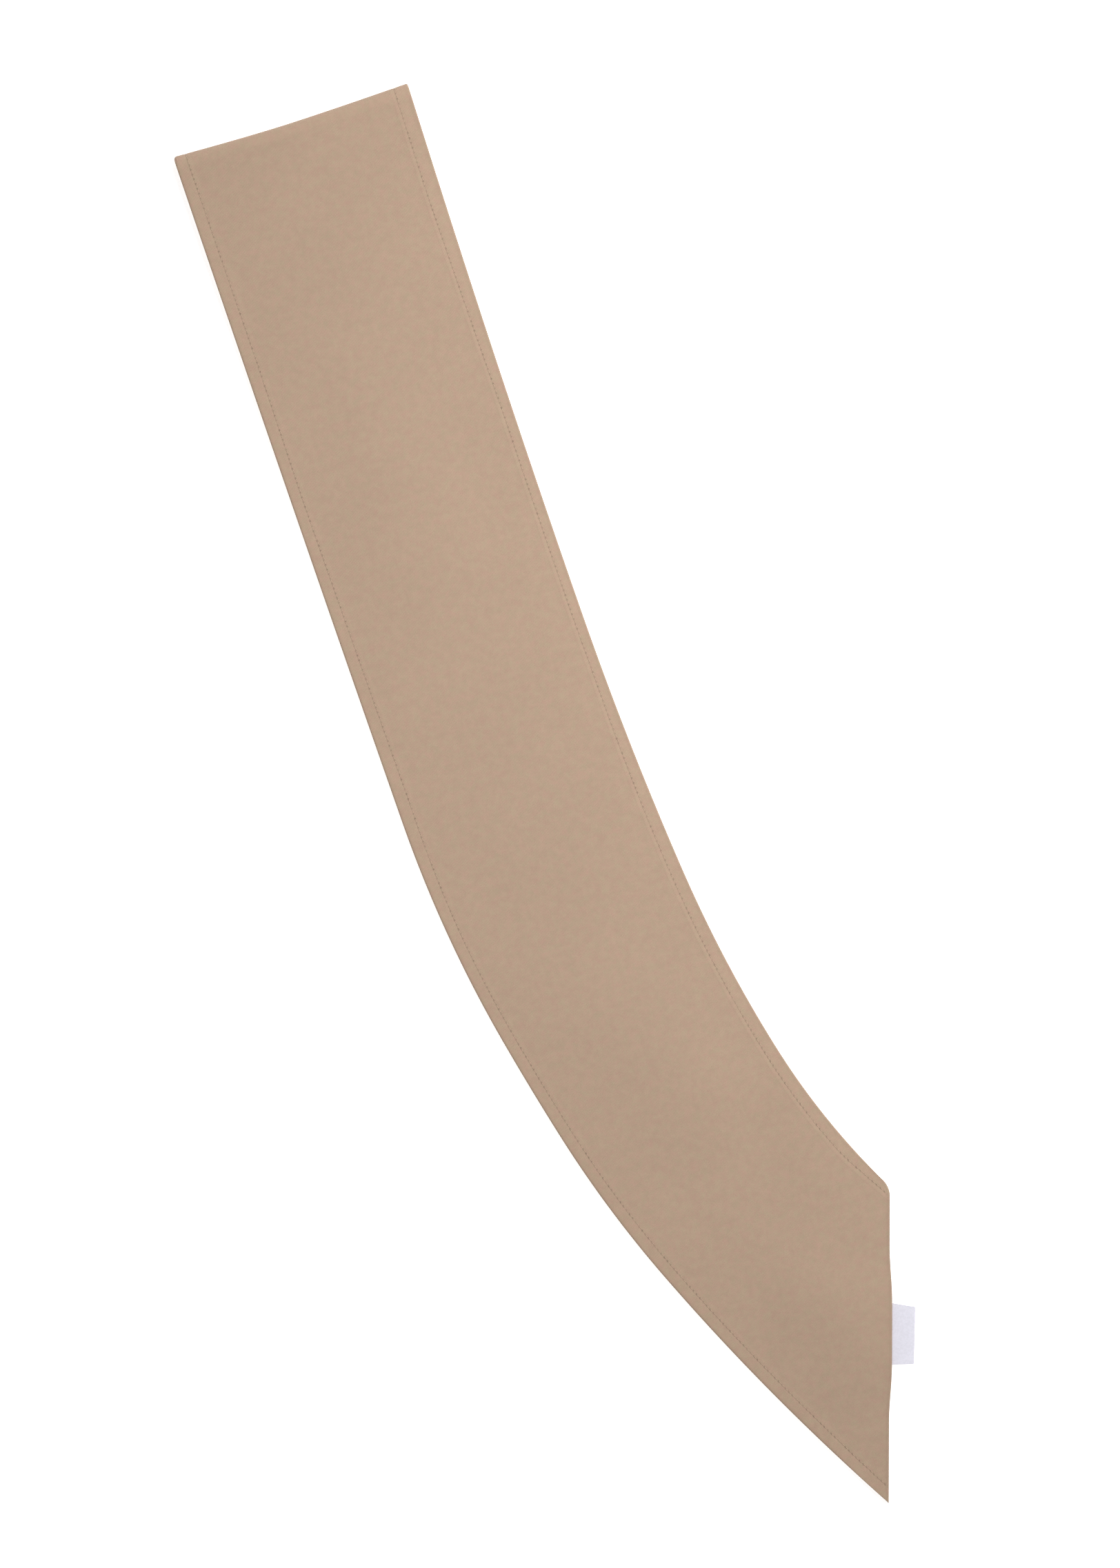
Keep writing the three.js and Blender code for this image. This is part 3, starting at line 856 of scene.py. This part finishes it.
def make_label(material):
    """The tape: rows across its width, with the outer face and then the inner face in each."""
    middle_x, middle_y, _, _ = hip_point(np.array(float(LABEL_MIDDLE)), 0.0)
    middle_z = (SEAM_TOP + PUSH_UP) / 2
    section = label_section()
    half = LABEL_WIDTH / 2
    alongs = [-half, 0.2 - half, *np.linspace(1 - half, half - 1, LABEL_COLUMNS), half - 0.2, half]
    points = []
    places = []
    for along in alongs:
        lift = LABEL_WAVE * wander(along, LABEL_WAVELENGTH, 40) + LABEL_CURL * (along / half) ** 2
        for depth in (0, LABEL_TAPE):
            for out, up, (level, rise) in section:
                share = max(0, out / LABEL_REACH)
                place = out - depth * level
                aside = along * (1 - LABEL_NARROWS / LABEL_WIDTH * share) - LABEL_SHIFT * share
                x = middle_x + place * math.cos(LABEL_TILT) - aside * math.sin(LABEL_TILT)
                y = middle_y + place * math.sin(LABEL_TILT) + aside * math.cos(LABEL_TILT)
                z = middle_z + (up - depth * rise) * lerp(LABEL_PRESSED, 1, share)
                points.append((x, y, z - LABEL_DROOP * share**2 + lift * share))
                places.append((place, along, up))
    rows = len(alongs)
    size = len(section)
    ring = [*range(size), *range(2 * size - 1, size - 1, -1)]
    grid = np.arange(rows * 2 * size).reshape(rows, 2 * size)[:, ring]
    after = np.roll(grid, -1, axis=1)
    quads = np.stack([grid[:-1], after[:-1], after[1:], grid[1:]], axis=-1).reshape(-1, 4)
    faces = quads.tolist()
    for row in (0, rows - 1):
        start = row * 2 * size
        for i in range(start, start + size - 1):
            faces.append([i, i + 1, size + i + 1, size + i])
    return mesh_object("label_tape", points, faces, material, [("tape_place", places)])


# Materials.


def node(tree, kind, **values):
    """A new shader node with its settings."""
    made = tree.nodes.new(kind)
    for key, value in values.items():
        setattr(made, key, value)
    return made


def math_node(tree, operation, first, second=None, third=None):
    """A calculation with numbers or with other nodes' values."""
    made = node(tree, "ShaderNodeMath", operation=operation)
    for socket, value in zip(made.inputs, (first, second, third)):
        if value is None:
            continue
        if isinstance(value, (int, float)):
            socket.default_value = value
        else:
            tree.links.new(value, socket)
    return made.outputs[0]


def mixed(tree, share, first, second, blend="MIX"):
    """Two colours mixed by a share."""
    made = node(tree, "ShaderNodeMix", data_type="RGBA", blend_type=blend)
    for name, value in (("Factor", share), ("A", first), ("B", second)):
        socket = [entry for entry in made.inputs if entry.name == name and entry.enabled][0]
        if isinstance(value, (int, float)):
            socket.default_value = value
        elif isinstance(value, tuple):
            socket.default_value = (*value, 1)
        else:
            tree.links.new(value, socket)
    return [entry for entry in made.outputs if entry.enabled][0]


def spread(tree, value, low, high, to_low=0.0, to_high=1.0):
    """Maps low to high onto to_low to to_high, smoothly and clamped."""
    made = node(tree, "ShaderNodeMapRange", interpolation_type="SMOOTHSTEP")
    tree.links.new(value, made.inputs["Value"])
    made.inputs["From Min"].default_value = low
    made.inputs["From Max"].default_value = high
    made.inputs["To Min"].default_value = to_low
    made.inputs["To Max"].default_value = to_high
    return made.outputs["Result"]


def noise(tree, vector, scale, detail=2.0, roughness=0.5):
    """Soft irregular patches; a greater scale makes them smaller."""
    made = node(tree, "ShaderNodeTexNoise")
    tree.links.new(vector, made.inputs["Vector"])
    made.inputs["Scale"].default_value = scale
    made.inputs["Detail"].default_value = detail
    made.inputs["Roughness"].default_value = roughness
    return made.outputs["Fac"]


def wave(tree, value, length):
    """A sine wave between -1 and 1 along a value."""
    return math_node(tree, "SINE", math_node(tree, "MULTIPLY", value, 2 * math.pi / length))


def added(tree, patterns, start):
    """Patterns added up from a start, each with its strength."""
    total = start
    for pattern, strength in patterns:
        total = math_node(tree, "MULTIPLY_ADD", pattern, strength, total)
    return total


def toned(tree, colour, tone):
    """A colour made lighter or darker by a tone."""
    shade = node(tree, "ShaderNodeCombineColor")
    for socket in shade.inputs:
        tree.links.new(tone, socket)
    return mixed(tree, 1.0, colour, shade.outputs[0], "MULTIPLY")


def mesh_place(tree, name):
    """A place stored with the mesh, whole and as its three parts."""
    place = node(tree, "ShaderNodeAttribute", attribute_name=name).outputs["Vector"]
    parts = node(tree, "ShaderNodeSeparateXYZ")
    tree.links.new(place, parts.inputs[0])
    return place, *parts.outputs


def add_bump(tree, shader, height, strength, distance):
    """Fine relief from a pattern; the distance is in metres."""
    bump = node(tree, "ShaderNodeBump")
    bump.inputs["Strength"].default_value = strength
    bump.inputs["Distance"].default_value = distance
    tree.links.new(height, bump.inputs["Height"])
    tree.links.new(bump.outputs["Normal"], shader.inputs["Normal"])


def surface(material):
    """The material's node tree and its shader."""
    material.use_nodes = True
    tree = material.node_tree
    shader = next(entry for entry in tree.nodes if entry.type == "BSDF_PRINCIPLED")
    return tree, shader


def twill_weave(tree, place, across, down, fibres):
    """Diagonal ridges with the single threads across them."""
    wobble = noise(tree, place, 0.35, 3)
    slant = math_node(tree, "MULTIPLY_ADD", across, TWILL_SLANT, down)
    slant = math_node(tree, "MULTIPLY_ADD", wobble, 0.5, slant)
    ridges = math_node(tree, "MULTIPLY_ADD", wave(tree, slant, TWILL_STEP), 0.5, 0.5)
    threads = math_node(tree, "MULTIPLY_ADD", wave(tree, across, TWILL_THREAD), 0.5, 0.5)
    return added(tree, [(threads, 0.35), (fibres, 0.9)], ridges)


def needle_hole_dents_and_shade(tree, place, run, off, edge):
    """Painted shade in one needle hole to each stitch, and its dent for the bump; uneven in strength and lost
    where the cloth is folded hard.
    """
    phase = math_node(tree, "FRACT", math_node(tree, "DIVIDE", run, STITCH_PITCH))
    nearest = math_node(tree, "MINIMUM", phase, math_node(tree, "SUBTRACT", 1.0, phase))
    along = math_node(tree, "MULTIPLY", nearest, 0.65 * STITCH_PITCH)
    squares = math_node(tree, "MULTIPLY_ADD", along, along, math_node(tree, "MULTIPLY", off, off))
    distance = math_node(tree, "SQRT", squares)
    dent = spread(tree, distance, 0.2, 0.85, 1.0, 0.0)
    hole_dent_and_shade = math_node(tree, "MULTIPLY_ADD", spread(tree, distance, 0.1, 0.3, 1.0, 0.0), 0.7, dent)
    hole_dent_and_shade = math_node(tree, "MULTIPLY", hole_dent_and_shade, spread(tree, edge, 0.15, 0.6, 1.0, 0.0))
    pull = spread(tree, noise(tree, place, 0.21, 2), 0.35, 0.65, 0.55, 1.2)
    return math_node(tree, "MULTIPLY", hole_dent_and_shade, pull)


def mottled(tree, place, colour):
    """A colour that turns a little rosy here and olive there."""
    red, green, blue = colour
    shifted = node(tree, "ShaderNodeVectorMath", operation="ADD")
    tree.links.new(place, shifted.inputs[0])
    shifted.inputs[1].default_value = (500, 900, 0)
    mottle = noise(tree, shifted.outputs[0], 0.2, 4, 0.9)
    rosy = (red * 1.03, green * 0.96, blue)
    olive = (red * 0.97, green * 1.04, blue)
    return mixed(tree, spread(tree, mottle, 0.3, 0.7), rosy, olive)


def cloth_material():
    """Cotton twill with a mottled tone, hems, painted shade in its needle holes and along its hard folded
    edges, and a painted highlight over the shoulder.
    """
    material = bpy.data.materials.new("brown_twill")
    tree, shader = surface(material)
    place, across, down, _ = mesh_place(tree, "flat_place")
    # The stitch place's third part is the painted shade along the folded edges.
    _, run, off, edge = mesh_place(tree, "stitch_place")
    fibres = noise(tree, place, 3.2, 4, 0.65)
    weave = twill_weave(tree, place, across, down, fibres)
    # The needle holes are painted darker, as shade, and dented in the bump.
    hole_dent_and_shade = needle_hole_dents_and_shade(tree, place, run, off, edge)

    # The hem, of doubled cloth, is painted a little lighter, with a faint line of painted shade at the step
    # where it ends.
    hem = spread(tree, off, HEM_BEYOND_STITCHES - 0.3, HEM_BEYOND_STITCHES + 0.4, 1.0, 0.0)
    hem_end_shade = math_node(tree, "ABSOLUTE", math_node(tree, "SUBTRACT", off, HEM_BEYOND_STITCHES + 0.15))
    hem_end_shade = spread(tree, hem_end_shade, 0.1, 0.75, 1.0, 0.0)

    # The hem gets painted light and shade for the puckers of its stitches; the turn over the shoulder gets a
    # painted highlight.
    pucker_shading = math_node(tree, "SUBTRACT", noise(tree, place, 0.7, 2, 0.6), 0.5)
    pucker_shading = math_node(tree, "MULTIPLY", pucker_shading, spread(tree, off, -1.0, 4.0, 1.0, 0.15))
    shoulder_highlight = spread(tree, math_node(tree, "ABSOLUTE", down), 1.0, 11.0, 1.0, 0.0)

    clouds = noise(tree, place, 0.018, 3, 0.55)
    blotches = noise(tree, place, 0.2, 4, 0.8)
    patterns = [
        (spread(tree, clouds, 0.3, 0.7), 0.03),
        (spread(tree, blotches, 0.3, 0.7), 0.08),
        (spread(tree, weave, 0.3, 1.9), 0.08),
        (hem, 0.033),
        (hem_end_shade, -0.014),
        (edge, -0.17),
        (shoulder_highlight, 0.21),
        (pucker_shading, 0.09),
        (hole_dent_and_shade, -0.215),
    ]
    colour = toned(tree, mottled(tree, place, CLOTH_COLOUR), added(tree, patterns, 0.915))
    tree.links.new(colour, shader.inputs["Base Color"])
    roughness = math_node(tree, "MULTIPLY_ADD", fibres, 0.12, 0.8)
    tree.links.new(roughness, shader.inputs["Roughness"])
    shader.inputs["Specular IOR Level"].default_value = 0.25
    shader.inputs["Sheen Weight"].default_value = 0.12
    shader.inputs["Sheen Roughness"].default_value = 0.5
    height = math_node(tree, "MULTIPLY_ADD", hole_dent_and_shade, -2.0, weave)
    add_bump(tree, shader, height, 0.45, 0.00012)
    return material


def thread_material():
    """Sewing thread of the cloth's colour, a little smoother."""
    material = bpy.data.materials.new("brown_thread")
    tree, shader = surface(material)
    place, along, around, _ = mesh_place(tree, "thread_place")
    fibres = noise(tree, place, 4, 3, 0.6)
    turn = math_node(tree, "MULTIPLY_ADD", around, 0.16, along)
    plies = math_node(tree, "MULTIPLY_ADD", fibres, 0.8, wave(tree, turn, THREAD_TWIST))
    colour = mixed(tree, spread(tree, plies, -0.8, 1.4), THREAD_DARK, THREAD_LIGHT)
    tree.links.new(colour, shader.inputs["Base Color"])
    shader.inputs["Roughness"].default_value = 0.6
    shader.inputs["Specular IOR Level"].default_value = 0.35
    shader.inputs["Sheen Weight"].default_value = 0.15
    add_bump(tree, shader, plies, 0.4, 0.00004)
    return material


def label_material():
    """Near-white woven tape with fine ribs."""
    material = bpy.data.materials.new("white_tape")
    tree, shader = surface(material)
    place, out, along, _ = mesh_place(tree, "tape_place")
    fibres = noise(tree, place, 4, 3, 0.6)
    threads = wave(tree, along, TAPE_THREAD)
    weave = added(tree, [(threads, 0.4), (fibres, 1.2)], wave(tree, out, TAPE_RIB))
    patches = noise(tree, place, 0.9, 3, 0.6)
    tone = added(tree, [(weave, 0.012), (spread(tree, patches, 0.35, 0.65), 0.06)], 0.94)
    tree.links.new(toned(tree, LABEL_COLOUR, tone), shader.inputs["Base Color"])
    shader.inputs["Roughness"].default_value = 0.5
    shader.inputs["Specular IOR Level"].default_value = 0.4
    shader.inputs["Sheen Weight"].default_value = 0.1
    add_bump(tree, shader, weave, 0.35, 0.00008)
    return material


def floor_material():
    """An even, near-white ground."""
    material = bpy.data.materials.new("pale_floor")
    tree, shader = surface(material)
    coordinates = node(tree, "ShaderNodeTexCoord")
    grain = noise(tree, coordinates.outputs["Object"], 3, 2)
    colour = mixed(tree, grain, (0.9, 0.9, 0.9), (0.92, 0.92, 0.92))
    tree.links.new(colour, shader.inputs["Base Color"])
    shader.inputs["Roughness"].default_value = 0.9
    shader.inputs["Specular IOR Level"].default_value = 0.1
    shader.inputs["Emission Color"].default_value = (1, 1, 1, 1)
    shader.inputs["Emission Strength"].default_value = 0.7
    return material


# The stage, the light and the camera.


def make_floor():
    """A floor that reaches 12 m each way, a tenth of a millimetre under the sash."""
    half = 12
    mesh = bpy.data.meshes.new("floor")
    corners = [(half * x, half * y, -0.1 * MM) for x, y in ((-1, -1), (1, -1), (1, 1), (-1, 1))]
    mesh.from_pydata(corners, [], [(0, 1, 2, 3)])
    mesh.materials.append(floor_material())
    floor = bpy.data.objects.new("floor", mesh)
    bpy.context.scene.collection.objects.link(floor)


def area_light(name, place, target, side, power):
    """A square lamp in metres and watts, turned towards its target."""
    light = bpy.data.lights.new(name, "AREA")
    light.size = side
    light.energy = power
    lamp = bpy.data.objects.new(name, light)
    bpy.context.scene.collection.objects.link(lamp)
    lamp.location = place
    away = np.array(place, float) - np.array(target, float)
    level = math.hypot(away[0], away[1])
    lamp.rotation_euler = (math.atan2(level, away[2]), 0, math.atan2(away[0], -away[1]))


def make_light():
    """White light from all round, and one soft lamp to the right of the sash."""
    world = bpy.data.worlds.new("studio")
    bpy.context.scene.world = world
    world.use_nodes = True
    background = world.node_tree.nodes["Background"]
    background.inputs["Color"].default_value = (1, 1, 1, 1)
    background.inputs["Strength"].default_value = 0.366
    area_light("key", place=(0.49, 0.34, 0.8), target=(0.05, 0.05, 0), side=0.85, power=11)


def make_camera():
    """A camera straight above, which takes in what the photo does."""
    data = bpy.data.cameras.new("camera")
    data.sensor_fit = "VERTICAL"
    data.sensor_height = SENSOR_HEIGHT
    data.lens = SENSOR_HEIGHT * CAMERA_HEIGHT / (PHOTO_SCALE * PHOTO_HEIGHT)
    data.clip_end = 50
    camera = bpy.data.objects.new("camera", data)
    bpy.context.scene.collection.objects.link(camera)
    camera.location = (PHOTO_MIDDLE[0] * MM, PHOTO_MIDDLE[1] * MM, CAMERA_HEIGHT * MM)
    bpy.context.scene.camera = camera


def dress():
    """Make the pieces, hang them on the root body, and hide the solids of the part that the cloth and the
    label replace.
    """
    cloth = make_cloth(cloth_material())
    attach(cloth, "root")
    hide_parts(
        "front_panel", "back_panel", "shoulder_fold", "front_seam_allowance", "back_seam_allowance"
    )
    thread = thread_material()
    stitches = [make_stitches("front_stitches", True, thread), make_stitches("back_stitches", False, thread)]
    for piece in stitches:
        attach(piece, "root")
    label = make_label(label_material())
    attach(label, "root")
    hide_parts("label")


make_camera()
make_floor()
make_light()
bpy.context.scene.view_settings.view_transform = "Standard"
dress()
